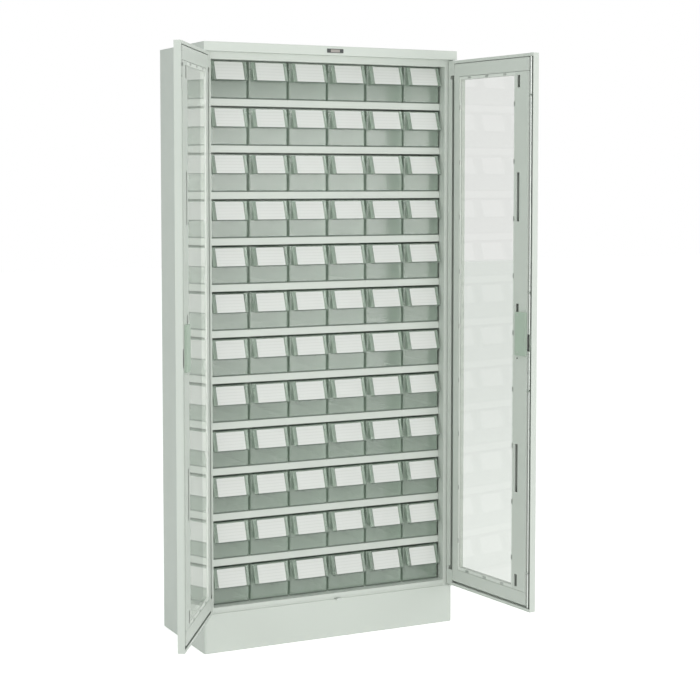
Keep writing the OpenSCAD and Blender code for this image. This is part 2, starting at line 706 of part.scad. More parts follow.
side_panel_left();
side_panel_right();
back_panel();
top_panel();
header();
floor_pan();
floor_support();
plinth_front();
plinth_back();
shelves();
shelf_runners();
nameplate();
hinge_brackets();
hinge_pins();
rod_keeper();
left_door_skin();
left_door_frame();
left_door_channel();
left_pane();
left_pane_retainer();
left_pane_clips();
left_lock_cover();
left_hinge_blocks();
left_bolt_guides();
left_bolt();
right_door_skin();
right_door_frame();
right_door_channel();
right_pane();
right_pane_retainer();
right_pane_clips();
right_lock_cover();
right_handle_plate();
right_hinge_blocks();
rod_guides();
handle_lever();
lock_cam();
key_cylinder();
upper_lock_rod();
lower_lock_rod();
bins_tier(1);  // bins_tier_01
bins_tier(2);  // bins_tier_02
bins_tier(3);  // bins_tier_03
bins_tier(4);  // bins_tier_04
bins_tier(5);  // bins_tier_05
bins_tier(6);  // bins_tier_06
for (column = [1 : columns])
    color(BIN) bin_at(single_tier, column);
bins_tier(8);  // bins_tier_08
bins_tier(9);  // bins_tier_09
bins_tier(10);  // bins_tier_10
bins_tier(11);  // bins_tier_11
bins_tier(12);  // bins_tier_12
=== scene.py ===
# %% [markdown]
# # A parts bin cabinet, dressed for its picture
# The cabinet is a welded steel body with two glazed doors and twelve tiers of clear plastic bins. Its solids come
# from the imported model, already in place and in metres. This lesson gives them paint, plastic and glass, and adds
# what is too thin or too small for the solids: label cards, screws, rivets and softened edges.
# The model could also be imported by hand; here it is imported directly, and each added piece is tied to the body
# that it moves with.

# %% Load the imported cabinet
import bpy, bmesh, json, math
from mathutils import Matrix, Vector


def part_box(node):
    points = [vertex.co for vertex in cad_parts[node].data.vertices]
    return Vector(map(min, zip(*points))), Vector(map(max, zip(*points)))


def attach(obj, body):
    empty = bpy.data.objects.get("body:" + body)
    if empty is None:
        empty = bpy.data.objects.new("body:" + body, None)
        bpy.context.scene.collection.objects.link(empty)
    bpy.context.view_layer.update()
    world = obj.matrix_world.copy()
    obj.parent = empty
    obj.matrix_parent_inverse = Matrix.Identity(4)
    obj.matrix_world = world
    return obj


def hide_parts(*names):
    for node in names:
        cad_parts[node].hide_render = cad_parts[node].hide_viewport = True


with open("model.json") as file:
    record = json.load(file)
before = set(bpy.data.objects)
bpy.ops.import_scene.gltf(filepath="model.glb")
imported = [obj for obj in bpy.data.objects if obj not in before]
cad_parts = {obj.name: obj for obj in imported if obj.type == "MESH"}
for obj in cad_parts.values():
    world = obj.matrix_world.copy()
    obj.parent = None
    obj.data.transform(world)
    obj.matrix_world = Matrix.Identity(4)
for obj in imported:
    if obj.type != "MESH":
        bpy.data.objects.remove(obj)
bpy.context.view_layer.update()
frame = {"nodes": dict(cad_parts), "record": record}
NODES = frame["nodes"]

# %% [markdown]
# The bins repeat on an even grid, and several later steps need its measures. What the solids can tell is read from
# their boxes. The rest is named here once: the floor under the first tier, the plane of the bins' fronts, how far
# the lower and the upper edge of a hood stand in front of that plane, and the size of a card.

# %% Where the bins stand
TIERS, COLUMNS, SINGLE_TIER = 12, 6, 7
BIN_PITCH, FLOOR_Z, BIN_FRONT = 0.130, 0.135, -0.140
TIER_PITCH = (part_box("bins_tier_12")[0].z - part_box("bins_tier_01")[0].z) / (TIERS - 1)
HOOD_LOW, HOOD_HIGH = 0.052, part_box("bin_07_1")[1].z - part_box("bin_07_1")[0].z
HOOD_REACH, HOOD_RISE = 0.025, 0.0055
HOOD_SLANT = math.atan2(HOOD_REACH - HOOD_RISE, HOOD_HIGH - HOOD_LOW)
CARD_W, CARD_H, CARD_T = 0.0895, 0.0550, 0.0005
print("tier pitch", round(TIER_PITCH, 5), "hood slant", round(math.degrees(HOOD_SLANT), 2), "degrees")

# %% [markdown]
# ## The viewpoint
# Tall cabinets are pictured from a little to one side, from far off, with a long lens, so that the uprights stay
# nearly parallel. The camera looks slightly down and its lens is shifted a little, which keeps the uprights
# straighter than a tilt alone would.

# %% Camera
camera = bpy.data.objects.new("view_camera", bpy.data.cameras.new("view_camera"))
bpy.context.scene.collection.objects.link(camera)
camera.data.lens = 83.823
camera.data.sensor_width = 36.0
camera.data.shift_y = -0.09
camera.data.clip_end = 60.0
camera.location = (-2.1422, -4.6124, 1.3968)
camera.rotation_euler = (math.radians(90 - 3.709), 0.0, math.radians(-26.388))
bpy.context.scene.camera = camera
print("camera at", tuple(round(v, 3) for v in camera.location), "lens", camera.data.lens)

# %% [markdown]
# ## A pale room with soft light
# Powder-coated steel shows its folds through gentle steps of brightness, so the light is broad and even. A wide
# key lamp stands in front, weaker ones fill from the left and from above, and the pale surroundings do the rest.
# Two flat lamps at the right stand where the bins' glossy fronts mirror them. The surroundings look white to the
# camera, and in glass and metal, while they light the object more quietly.

# %% World
scene = bpy.context.scene
scene.view_settings.view_transform = "Standard"
scene.cycles.transparent_max_bounces = 32


def white_ray_mask(tree):
    """1 for the rays that should meet a white background: camera, glossy and transmission rays."""
    path = tree.nodes.new("ShaderNodeLightPath")
    first = tree.nodes.new("ShaderNodeMath"); first.operation = "MAXIMUM"
    second = tree.nodes.new("ShaderNodeMath"); second.operation = "MAXIMUM"
    tree.links.new(path.outputs["Is Camera Ray"], first.inputs[0])
    tree.links.new(path.outputs["Is Glossy Ray"], first.inputs[1])
    tree.links.new(first.outputs[0], second.inputs[0])
    tree.links.new(path.outputs["Is Transmission Ray"], second.inputs[1])
    return second.outputs[0]


world = bpy.data.worlds.new("pale_room")
scene.world = world
world.use_nodes = True
tree = world.node_tree
tree.nodes.clear()
lit = tree.nodes.new("ShaderNodeBackground")
lit.inputs["Color"].default_value = (0.93, 1.0, 0.955, 1.0)
lit.inputs["Strength"].default_value = 0.52
seen = tree.nodes.new("ShaderNodeBackground")
seen.inputs["Color"].default_value = (1.0, 1.0, 1.0, 1.0)
seen.inputs["Strength"].default_value = 1.0
blend = tree.nodes.new("ShaderNodeMixShader")
room = tree.nodes.new("ShaderNodeOutputWorld")
tree.links.new(white_ray_mask(tree), blend.inputs[0])
tree.links.new(lit.outputs[0], blend.inputs[1])
tree.links.new(seen.outputs[0], blend.inputs[2])
tree.links.new(blend.outputs[0], room.inputs["Surface"])
print("world:", world.name, "lights at", lit.inputs["Strength"].default_value)

# %% [markdown]
# An area lamp gives the soft edge of shade that a photographer's diffuser gives. The helper takes the place of the
# lamp and the point that it faces, since these are easier to judge than angles.


# %% Lamps
def soft_lamp(name, place, aim, width, height, watts, color):
    """A rectangular area lamp at place that points at aim."""
    lamp = bpy.data.lights.new(name, "AREA")
    lamp.shape, lamp.size, lamp.size_y, lamp.energy, lamp.color = "RECTANGLE", width, height, watts, color
    holder = bpy.data.objects.new(name, lamp)
    holder.location = place
    holder.rotation_euler = (Vector(aim) - Vector(place)).to_track_quat("-Z", "Y").to_euler()
    scene.collection.objects.link(holder)
    return holder


soft_lamp("key_lamp", (-0.9, -5.4, 1.7), (0.0, 0.0, 0.85), 3.0, 3.0, 74.0, (1.0, 0.985, 0.975))
soft_lamp("upper_gloss_lamp", (2.7, -5.1, 1.50), (0.0, -0.14, 1.5), 3.4, 0.9, 28.0, (1.0, 0.99, 0.98))
soft_lamp("lower_gloss_lamp", (2.7, -5.1, 0.56), (0.0, -0.14, 0.56), 3.4, 0.96, 20.0, (1.0, 0.99, 0.98))
soft_lamp("left_fill_lamp", (-4.6, -2.4, 2.2), (0.0, 0.0, 0.9), 2.6, 2.6, 26.0, (0.94, 1.0, 0.96))
soft_lamp("top_lamp", (0.2, -0.6, 4.6), (0.0, 0.0, 0.9), 2.4, 2.4, 26.0, (1.0, 1.0, 1.0))

# %% [markdown]
# The floor is a matt sheet of pale paper. A faint glow lifts it to white for the eye and for mirror images, and a
# weaker one is enough behind a pane, while the shade under the cabinet stays.

# %% Floor
FLOOR_REACH, FLOOR_LEVEL = 20, -0.0006
CORNERS = ((-1, -1), (1, -1), (1, 1), (-1, 1))
floor_mesh = bpy.data.meshes.new("studio_floor")
floor_mesh.from_pydata([(x * FLOOR_REACH, y * FLOOR_REACH, FLOOR_LEVEL) for x, y in CORNERS], [], [(0, 1, 2, 3)])
studio_floor = bpy.data.objects.new("studio_floor", floor_mesh)
scene.collection.objects.link(studio_floor)
paper = bpy.data.materials.new("floor_paper")
paper.use_nodes = True
tree = paper.node_tree
board = tree.nodes["Principled BSDF"]
board.inputs["Base Color"].default_value = (0.90, 0.90, 0.89, 1.0)
board.inputs["Roughness"].default_value = 0.9
board.inputs["Specular IOR Level"].default_value = 0.1
board.inputs["Emission Color"].default_value = (1.0, 1.0, 1.0, 1.0)
through_pane = tree.nodes.new("ShaderNodeLightPath").outputs["Is Transmission Ray"]
level = tree.nodes.new("ShaderNodeMapRange")
level.inputs["To Min"].default_value = 0.60
level.inputs["To Max"].default_value = 0.47
tree.links.new(through_pane, level.inputs["Value"])
glow = tree.nodes.new("ShaderNodeMath"); glow.operation = "MULTIPLY"
tree.links.new(white_ray_mask(tree), glow.inputs[0])
tree.links.new(level.outputs["Result"], glow.inputs[1])
tree.links.new(glow.outputs[0], board.inputs["Emission Strength"])
floor_mesh.materials.append(paper)
print("floor reaches", FLOOR_REACH, "m to every side")

# %% [markdown]
# ## Effects that several finishes share
# A node group is built once and placed in many materials with different values. Powder coat and moulded plastic
# both have a fine grain, and both vary a little in tone over a large sheet, so these two effects are groups. The
# patterns read Object coordinates, because every piece sits at the origin with its place in its mesh.


# %% Shared shader groups
def new_group(name, inputs, outputs):
    """An empty shader group with float inputs {name: value} and outputs {name: socket type}."""
    made = bpy.data.node_groups.new(name, "ShaderNodeTree")
    for label, value in inputs.items():
        socket = made.interface.new_socket(label, in_out="INPUT", socket_type="NodeSocketFloat")
        socket.default_value = value
    for label, kind in outputs.items():
        made.interface.new_socket(label, in_out="OUTPUT", socket_type=kind)
    return made, made.nodes.new("NodeGroupInput"), made.nodes.new("NodeGroupOutput")


def fine_grain_group():
    """Tiny bumps, as the orange peel of powder coat or the spark finish of a mould."""
    made, given, result = new_group("fine_grain", {"Scale": 700.0, "Depth": 0.15},
                                    {"Normal": "NodeSocketVector"})
    place = made.nodes.new("ShaderNodeTexCoord")
    noise = made.nodes.new("ShaderNodeTexNoise")
    noise.inputs["Detail"].default_value = 2.0
    bump = made.nodes.new("ShaderNodeBump")
    bump.inputs["Distance"].default_value = 0.0002
    made.links.new(place.outputs["Object"], noise.inputs["Vector"])
    made.links.new(given.outputs["Scale"], noise.inputs["Scale"])
    made.links.new(noise.outputs["Fac"], bump.inputs["Height"])
    made.links.new(given.outputs["Depth"], bump.inputs["Strength"])
    made.links.new(bump.outputs["Normal"], result.inputs["Normal"])
    return made


def tone_drift_group():
    """A slow drift between two levels, for colour and for roughness over a large sheet."""
    made, given, result = new_group("tone_drift", {"Scale": 3.0, "Low": 0.97, "High": 1.0},
                                    {"Level": "NodeSocketFloat"})
    place = made.nodes.new("ShaderNodeTexCoord")
    noise = made.nodes.new("ShaderNodeTexNoise")
    noise.inputs["Detail"].default_value = 3.0
    spread = made.nodes.new("ShaderNodeMapRange")
    spread.inputs["From Min"].default_value = 0.3
    spread.inputs["From Max"].default_value = 0.7
    made.links.new(place.outputs["Object"], noise.inputs["Vector"])
    made.links.new(given.outputs["Scale"], noise.inputs["Scale"])
    made.links.new(noise.outputs["Fac"], spread.inputs["Value"])
    made.links.new(given.outputs["Low"], spread.inputs["To Min"])
    made.links.new(given.outputs["High"], spread.inputs["To Max"])
    made.links.new(spread.outputs["Result"], result.inputs["Level"])
    return made


def reckon(tree, operation, first, second=0.0):
    """One Math node; each value is a number or a socket."""
    node = tree.nodes.new("ShaderNodeMath")
    node.operation = operation
    for slot, value in enumerate((first, second)):
        if isinstance(value, (int, float)):
            node.inputs[slot].default_value = value
        else:
            tree.links.new(value, node.inputs[slot])
    return node.outputs[0]


def tier_place_group():
    """Where a point lies in its tier: its height over the shelf, and its depth behind the bins' fronts."""
    made, given, result = new_group("tier_place", {"Floor": FLOOR_Z, "Pitch": TIER_PITCH, "Front": BIN_FRONT},
                                    {"Height": "NodeSocketFloat", "Depth": "NodeSocketFloat"})
    place = made.nodes.new("ShaderNodeTexCoord")
    split = made.nodes.new("ShaderNodeSeparateXYZ")
    made.links.new(place.outputs["Object"], split.inputs[0])
    above = reckon(made, "SUBTRACT", split.outputs["Z"], given.outputs["Floor"])
    made.links.new(reckon(made, "MODULO", above, given.outputs["Pitch"]), result.inputs["Height"])
    made.links.new(reckon(made, "SUBTRACT", split.outputs["Y"], given.outputs["Front"]), result.inputs["Depth"])
    return made


FINE_GRAIN = fine_grain_group()
TONE_DRIFT = tone_drift_group()
TIER_PLACE = tier_place_group()
print("groups:", FINE_GRAIN.name, TONE_DRIFT.name, TIER_PLACE.name)

# %% [markdown]
# ## Paint and metal
# The body is steel sheet with a pale grey-green powder coat, satin and slightly pebbled. The lever is satin chrome
# on a greyer plate, and the pins, rods and clips are zinc plated, which drifts a little in tone. One helper builds
# all of them, because they differ only in colour, gloss and how strong the grain is.


# %% Paint and metal finishes
def place_group(tree, group, **values):
    """The group as a node in this material, with its own values."""
    node = tree.nodes.new("ShaderNodeGroup")
    node.node_tree = group
    for label, value in values.items():
        node.inputs[label].default_value = value
    return node


def solid_finish(name, color, rough=(0.40, 0.50), metallic=0.0, grain=(700.0, 0.15), drift=(3.0, 0.97)):
    """A Principled finish. The roughness drifts between two levels; grain is (scale, depth); drift is the scale
    of the drift in tone and its lower level. The roughness drifts on a finer scale than the tone."""
    made = bpy.data.materials.new(name)
    made.use_nodes = True
    tree = made.node_tree
    shader = tree.nodes["Principled BSDF"]
    shader.inputs["Metallic"].default_value = metallic
    texture = place_group(tree, FINE_GRAIN, Scale=grain[0], Depth=grain[1])
    tree.links.new(texture.outputs["Normal"], shader.inputs["Normal"])
    tone = place_group(tree, TONE_DRIFT, Scale=drift[0], Low=drift[1], High=1.0)
    tint = tree.nodes.new("ShaderNodeMix")
    tint.data_type, tint.blend_type = "RGBA", "MULTIPLY"
    tint.inputs["Factor"].default_value = 1.0
    tint.inputs["A"].default_value = (*color, 1.0)
    tree.links.new(tone.outputs["Level"], tint.inputs["B"])
    tree.links.new(tint.outputs["Result"], shader.inputs["Base Color"])
    sheen = place_group(tree, TONE_DRIFT, Scale=drift[0] * 7, Low=rough[0], High=rough[1])
    tree.links.new(sheen.outputs["Level"], shader.inputs["Roughness"])
    made.diffuse_color = (*color, 1.0)
    return made


POWDER_COAT = solid_finish("powder_coat", (0.655, 0.690, 0.650))
COVER_PLASTIC = solid_finish("cover_plastic", (0.470, 0.565, 0.480), (0.45, 0.55), 0.0, (500.0, 0.2), (12.0, 0.94))
ZINC_PLATE = solid_finish("zinc_plate", (0.62, 0.64, 0.62), (0.28, 0.42), 1.0, (400.0, 0.1), (40.0, 0.9))
SATIN_CHROME = solid_finish("satin_chrome", (0.56, 0.57, 0.57), (0.20, 0.28), 1.0, (900.0, 0.05), (20.0, 0.96))
GREY_METAL = solid_finish("grey_metal", (0.25, 0.26, 0.26), (0.36, 0.44), 1.0, (700.0, 0.15), (20.0, 0.94))
SEAL_STRIP = solid_finish("seal_strip", (0.80, 0.83, 0.79), (0.50, 0.60), 0.0, (900.0, 0.1), (30.0, 0.96))
for finish in (POWDER_COAT, COVER_PLASTIC, ZINC_PLATE, SATIN_CHROME, GREY_METAL, SEAL_STRIP):
    print("solid finish:", finish.name)

# %% [markdown]
# The small plate on the fascia is blank: a paler field between two dark ends, inside a thin dark rim. Both are
# flat colour, so a mask from the place on the plate is enough, and no separate piece is needed.

# %% Finish of the blank plate
FIELD_HALF_W, FIELD_HALF_H = 0.0150, 0.0042


def blank_plate(name, ends, field):
    """Flat colour in two tones. The field is a rectangle in the middle of the plate."""
    made = solid_finish(name, ends, (0.35, 0.45), 0.0, (500.0, 0.1), (20.0, 0.9))
    tree = made.node_tree
    place, split = tree.nodes.new("ShaderNodeTexCoord"), tree.nodes.new("ShaderNodeSeparateXYZ")
    tree.links.new(place.outputs["Object"], split.inputs[0])
    middle = (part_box("nameplate")[0].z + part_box("nameplate")[1].z) / 2
    across = reckon(tree, "LESS_THAN", reckon(tree, "ABSOLUTE", split.outputs["X"]), FIELD_HALF_W)
    height = reckon(tree, "ABSOLUTE", reckon(tree, "SUBTRACT", split.outputs["Z"], middle))
    inside = reckon(tree, "MULTIPLY", across, reckon(tree, "LESS_THAN", height, FIELD_HALF_H))
    fill = tree.nodes.new("ShaderNodeMix")
    fill.data_type = "RGBA"
    fill.inputs["A"].default_value = (*ends, 1.0)
    fill.inputs["B"].default_value = (*field, 1.0)
    tree.links.new(inside, fill.inputs["Factor"])
    tree.links.new(fill.outputs["Result"], tree.nodes["Principled BSDF"].inputs["Base Color"])
    return made


BLANK_PLATE = blank_plate("blank_plate", (0.050, 0.056, 0.054), (0.36, 0.33, 0.31))
print("plate finish:", BLANK_PLATE.name)

# %% [markdown]
# ## Clear plastic and glass
# The bins are moulded in a clear plastic with a grey-green cast. Real refraction through dozens of thin walls
# costs many rays and turns grainy, so the plastic is thinned with Alpha instead, and made denser where it is seen
# edge on. Alpha thins the gloss as well, and a raised IOR gives back what it takes. Along the foot of each front
# and along the lower rim of each hood a band of painted shade is laid in, dark, dense and too rough to mirror
# anything: the shadow where a bin stands on its shelf, and the shade under its hood.

# %% Clear plastic
# Where the two bands of painted shade lie: along the foot of each front and along the lower rim of each hood.
FOOT_BAND, FOOT_DEPTH = 0.0044, 0.0015
RIM_RISE, RIM_HALF, RIM_DEPTH = 0.0012, 0.0018, -0.018
PLASTIC_ROUGH, SHADE_EXTRA_ROUGH, PLASTIC_IOR = 0.12, 0.75, 2.4


def clear_plastic(name, color, shade_color, thin, dense, shadow):
    """Plastic that is thin where it is seen square on, and dense at a grazing angle and along two bands of painted
    shade.
    It casts only a share of its density as shadow, as light is scattered on through real walls."""
    made = bpy.data.materials.new(name)
    made.use_nodes = True
    tree = made.node_tree
    shader = tree.nodes["Principled BSDF"]
    shader.inputs["IOR"].default_value = PLASTIC_IOR
    texture = place_group(tree, FINE_GRAIN, Scale=260.0, Depth=0.04)
    tree.links.new(texture.outputs["Normal"], shader.inputs["Normal"])
    tier = place_group(tree, TIER_PLACE, Floor=FLOOR_Z, Pitch=TIER_PITCH, Front=BIN_FRONT)
    height, depth = tier.outputs["Height"], tier.outputs["Depth"]
    low = reckon(tree, "LESS_THAN", height, FOOT_BAND)
    foot = reckon(tree, "MULTIPLY", low, reckon(tree, "LESS_THAN", depth, FOOT_DEPTH))
    from_rim = reckon(tree, "ABSOLUTE", reckon(tree, "SUBTRACT", height, HOOD_LOW + RIM_RISE))
    rim = reckon(tree, "MULTIPLY", reckon(tree, "LESS_THAN", from_rim, RIM_HALF),
                 reckon(tree, "LESS_THAN", depth, RIM_DEPTH))
    # Painted shade: the foot band stands for the shadow where a bin meets its shelf, the rim band for the shade
    # under its hood.
    painted_shade = reckon(tree, "MAXIMUM", foot, rim)
    dull = reckon(tree, "ADD", PLASTIC_ROUGH, reckon(tree, "MULTIPLY", painted_shade, SHADE_EXTRA_ROUGH))
    tree.links.new(dull, shader.inputs["Roughness"])
    tint = tree.nodes.new("ShaderNodeMix")
    tint.data_type = "RGBA"
    tint.inputs["A"].default_value = (*color, 1.0)
    tint.inputs["B"].default_value = (*shade_color, 1.0)
    tree.links.new(painted_shade, tint.inputs["Factor"])
    tree.links.new(tint.outputs["Result"], shader.inputs["Base Color"])
    facing = tree.nodes.new("ShaderNodeLayerWeight")
    facing.inputs["Blend"].default_value = 0.35
    spread = tree.nodes.new("ShaderNodeMapRange")
    spread.inputs["To Min"].default_value = thin
    spread.inputs["To Max"].default_value = dense
    tree.links.new(facing.outputs["Facing"], spread.inputs["Value"])
    solid = reckon(tree, "MAXIMUM", spread.outputs["Result"], painted_shade)
    shade = tree.nodes.new("ShaderNodeMapRange")
    shade.inputs["To Min"].default_value = 1.0
    shade.inputs["To Max"].default_value = shadow
    path = tree.nodes.new("ShaderNodeLightPath")
    tree.links.new(path.outputs["Is Shadow Ray"], shade.inputs["Value"])
    tree.links.new(reckon(tree, "MULTIPLY", solid, shade.outputs["Result"]), shader.inputs["Alpha"])
    made.diffuse_color = (*color, thin)
    return made


# The second colour is the painted shade of the foot and rim bands.
BIN_PLASTIC = clear_plastic("bin_plastic", (0.56, 0.68, 0.575), (0.070, 0.100, 0.076), 0.22, 0.60, 0.22)
print("bins:", BIN_PLASTIC.name)

# %% [markdown]
# The panes are single sheets, where refraction is cheap and gives the mirror image at a grazing angle, so they get
# real transmission. Shadow rays take a second, plainly transparent path, so that the lamps shine through. Both
# panes are the same glass, but the left one gets a paler tint and the right one a darker one: painted light and
# shade for how bright each door's pane looks.


# %% Panes
def pane_glass(name, color):
    """A clear sheet with true refraction that still lets the lamps shine through."""
    made = bpy.data.materials.new(name)
    made.use_nodes = True
    tree = made.node_tree
    shader = tree.nodes["Principled BSDF"]
    shader.inputs["Base Color"].default_value = (*color, 1.0)
    shader.inputs["Roughness"].default_value = 0.0
    shader.inputs["IOR"].default_value = 1.34
    shader.inputs["Transmission Weight"].default_value = 1.0
    path = tree.nodes.new("ShaderNodeLightPath")
    through = tree.nodes.new("ShaderNodeBsdfTransparent")
    through.inputs["Color"].default_value = (0.93, 0.95, 0.94, 1.0)
    blend = tree.nodes.new("ShaderNodeMixShader")
    surface = tree.nodes["Material Output"]
    tree.links.new(path.outputs["Is Shadow Ray"], blend.inputs[0])
    tree.links.new(shader.outputs[0], blend.inputs[1])
    tree.links.new(through.outputs[0], blend.inputs[2])
    tree.links.new(blend.outputs[0], surface.inputs["Surface"])
    return made


# The two tints are painted light and shade: the same glass, paler on the left and darker on the right.
PANE_SHEET = {"left_pane": pane_glass("left_pane_sheet", (0.960, 0.968, 0.950)),
              "right_pane": pane_glass("right_pane_sheet", (0.800, 0.810, 0.790))}
print("panes:", [m.name for m in PANE_SHEET.values()])

# %% [markdown]
# ## Dress the solids
# Most solids already have the right shape, so they keep their meshes and only get a finish. A table of name parts
# says which finish a node takes, and whatever is left over is painted sheet.

# %% Finishes of the solids
FINISH_OF = {"bin": BIN_PLASTIC, "lock_cover": COVER_PLASTIC, "nameplate": BLANK_PLATE, "rod_keeper": ZINC_PLATE,
             "_retainer": SEAL_STRIP, "lock_cam": ZINC_PLATE, "hinge_pins": ZINC_PLATE, "_clips": ZINC_PLATE,
             "_guides": ZINC_PLATE, "_bolt": ZINC_PLATE, "lock_rod": ZINC_PLATE, "key_cylinder": ZINC_PLATE,
             "handle_plate": GREY_METAL, "handle": SATIN_CHROME}


def finish_of(name):
    """The finish of a node: its pane, the first name part in the table that fits, or paint."""
    if name in PANE_SHEET:
        return PANE_SHEET[name]
    for part, finish in FINISH_OF.items():
        if part in name:
            return finish
    return POWDER_COAT


for name, node in NODES.items():
    node.data.materials.clear()
    node.data.materials.append(finish_of(name))
print("painted sheet:", sorted(n for n in NODES if finish_of(n) is POWDER_COAT))

# %% [markdown]
# ## Softened edges
# Folded sheet has no knife edges: each fold is a small arc that catches a line of light. A Bevel modifier on a
# welded copy of the solid gives those arcs, and Weighted Normal keeps the large faces between them flat, which
# matters for mirror images. The copy then stands for the solid and rides on the same body.


# %% Bevelled copies of sheet and handles
WELD = 1e-6


def finished_mesh(work, name):
    """The evaluated object as a plain mesh in a new object; the working object goes."""
    seen_by = bpy.context.evaluated_depsgraph_get()
    mesh = bpy.data.meshes.new_from_object(work.evaluated_get(seen_by), depsgraph=seen_by)
    mesh.name = name
    made = bpy.data.objects.new(name, mesh)
    scene.collection.objects.link(made)
    bpy.data.objects.remove(work)
    return made


def body_with(node):
    """The body that the node moves with."""
    return next(b for b, members in frame["record"]["behaviour"]["bodies"].items() if node in members)


def soften(node, width, segments=2):
    """A copy of the node with rounded edges that replaces it."""
    mesh = NODES[node].data.copy()
    welded = bmesh.new()
    welded.from_mesh(mesh)
    bmesh.ops.remove_doubles(welded, verts=welded.verts, dist=WELD)
    bmesh.ops.dissolve_limit(welded, angle_limit=math.radians(1.0), verts=welded.verts, edges=welded.edges)
    for face in welded.faces:
        face.smooth = True
    welded.to_mesh(mesh)
    welded.free()
    work = bpy.data.objects.new("work", mesh)
    scene.collection.objects.link(work)
    bevel = work.modifiers.new("rounding", "BEVEL")
    bevel.width, bevel.segments, bevel.limit_method = width, segments, "ANGLE"
    bevel.angle_limit = math.radians(40)
    bevel.use_clamp_overlap = True
    flat = work.modifiers.new("flat_faces", "WEIGHTED_NORMAL")
    flat.mode, flat.weight = "FACE_AREA", 100
    made = finished_mesh(work, "soft_" + node)
    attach(made, body_with(node))
    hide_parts(node)
    return made


EDGE_WIDTH = {"handle_lever": 0.0016, "right_handle_plate": 0.0008, "plinth_front": 0.0005, "top_panel": 0.0005,
              "left_lock_cover": 0.0006, "right_lock_cover": 0.0006}
EDGE_WIDTH.update({name: 0.0006 for name in NODES if name.startswith("bin")})
for node, width in EDGE_WIDTH.items():
    piece = soften(node, width)
    print(piece.name, len(piece.data.polygons), "faces")

# %% [markdown]
# ## Label cards
# Each bin has a paper card in its slanted hood, held by a rail on either side. The cards repeat on a grid, so
# Geometry Nodes make them: a rounded outline is filled and thickened, leant back to the hood's slope, and set on a
# row of points. One tree serves every tier, and only the row's place and its count change.


# %% The card tree
def card_tree():
    """Geometry Nodes: a row of leaning cards, with its sizes as named inputs."""
    tree = bpy.data.node_groups.new("card_row", "GeometryNodeTree")
    for label, kind in (("Count", "NodeSocketInt"), ("Spacing", "NodeSocketFloat"), ("Start", "NodeSocketVector"),
                        ("Width", "NodeSocketFloat"), ("Height", "NodeSocketFloat"),
                        ("Thickness", "NodeSocketFloat"), ("Corner", "NodeSocketFloat"),
                        ("Slant", "NodeSocketFloat"), ("Material", "NodeSocketMaterial")):
        tree.interface.new_socket(label, in_out="INPUT", socket_type=kind)
    tree.interface.new_socket("Geometry", in_out="OUTPUT", socket_type="NodeSocketGeometry")
    add, join = tree.nodes.new, tree.links.new
    given, result = add("NodeGroupInput"), add("NodeGroupOutput")
    outline = add("GeometryNodeCurvePrimitiveQuadrilateral")
    rounding = add("GeometryNodeFilletCurve"); rounding.mode = "POLY"
    rounding.inputs["Count"].default_value = 3
    face = add("GeometryNodeFillCurve"); face.mode = "NGONS"
    thick = add("GeometryNodeExtrudeMesh")
    thick.inputs["Individual"].default_value = False
    back = add("GeometryNodeFlipFaces")
    both = add("GeometryNodeJoinGeometry")
    weld = add("GeometryNodeMergeByDistance")
    weld.inputs["Distance"].default_value = WELD
    turn = add("ShaderNodeCombineXYZ")
    lean = add("GeometryNodeTransform")
    step, row = add("ShaderNodeCombineXYZ"), add("GeometryNodeMeshLine")
    copies = add("GeometryNodeInstanceOnPoints")
    row.mode, row.count_mode = "OFFSET", "TOTAL"
    real, paint = add("GeometryNodeRealizeInstances"), add("GeometryNodeSetMaterial")
    join(given.outputs["Width"], outline.inputs["Width"])
    join(given.outputs["Height"], outline.inputs["Height"])
    join(outline.outputs["Curve"], rounding.inputs["Curve"])
    join(given.outputs["Corner"], rounding.inputs["Radius"])
    join(rounding.outputs["Curve"], face.inputs["Curve"])
    join(face.outputs["Mesh"], thick.inputs["Mesh"])
    join(given.outputs["Thickness"], thick.inputs["Offset Scale"])
    join(face.outputs["Mesh"], back.inputs["Mesh"])
    join(thick.outputs["Mesh"], both.inputs["Geometry"])
    join(back.outputs["Mesh"], both.inputs["Geometry"])
    join(both.outputs["Geometry"], weld.inputs["Geometry"])
    join(given.outputs["Slant"], turn.inputs["X"])
    join(weld.outputs["Geometry"], lean.inputs["Geometry"])
    join(turn.outputs["Vector"], lean.inputs["Rotation"])
    join(given.outputs["Spacing"], step.inputs["X"])
    join(step.outputs["Vector"], row.inputs["Offset"])
    join(given.outputs["Count"], row.inputs["Count"])
    join(given.outputs["Start"], row.inputs["Start Location"])
    join(row.outputs["Mesh"], copies.inputs["Points"])
    join(lean.outputs["Geometry"], copies.inputs["Instance"])
    join(copies.outputs["Instances"], real.inputs["Geometry"])
    join(real.outputs["Geometry"], paint.inputs["Geometry"])
    join(given.outputs["Material"], paint.inputs["Material"])
    join(paint.outputs["Geometry"], result.inputs["Geometry"])
    return tree


def run_tree(tree, name, values, points=()):
    """The tree's result as a plain mesh object. Inputs are set by identifier before the first evaluation.
    The points, if any, are the vertices that the tree works on."""
    start = bpy.data.meshes.new("work")
    start.from_pydata(list(points), [], [])
    work = bpy.data.objects.new("work", start)
    scene.collection.objects.link(work)
    grower = work.modifiers.new("grow", "NODES")
    grower.node_group = tree
    for item in tree.interface.items_tree:
        if item.item_type == "SOCKET" and item.in_out == "INPUT" and item.name in values:
            grower[item.identifier] = values[item.name]
    return finished_mesh(work, name)


CARD_TREE = card_tree()
print("card tree has", len(CARD_TREE.nodes), "nodes")

# %% [markdown]
# The cards are white paper with a few pale ruled lines. The group folds the height back to one tier with a modulo,
# and a second modulo by the spacing of the lines then gives every card the same rules.

# %% Card finish
RULE_START, RULE_PITCH, RULE_T = 0.002, 0.0088, 0.0013


